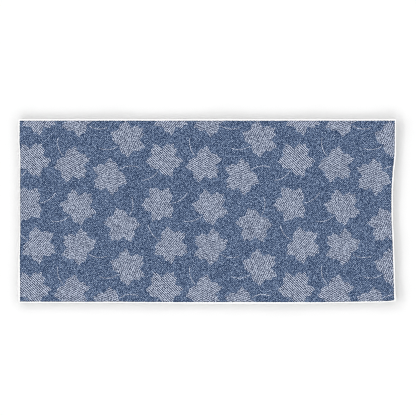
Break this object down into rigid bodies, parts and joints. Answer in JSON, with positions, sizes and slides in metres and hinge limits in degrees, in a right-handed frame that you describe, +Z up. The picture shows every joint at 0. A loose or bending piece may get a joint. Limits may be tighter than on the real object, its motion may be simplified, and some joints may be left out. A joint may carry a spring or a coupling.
{
  "type": "beach towel",
  "caption": "Rectangular velour beach towel laid flat, printed all over with tossed maple leaves on a denim ground, with a narrow white hem on all four edges.",
  "frame": {"origin": "under the middle of the towel's bounding box, on the surface it lies on", "axes": "+X along the towel's length, +Y across its width, +Z up out of the printed face"},
  "size_m": [1.524, 0.745, 0.0041],
  "materials": {
    "towel_cloth": "cut-pile cotton velour, printed denim blue with pale hatched maple leaves, unprinted white at the hem and on the looped back",
    "hem_thread": "white spun sewing thread, lockstitched"
  },
  "bodies": {
    "root": {"towel": "towel_cloth"}
  },
  "joints": []
}
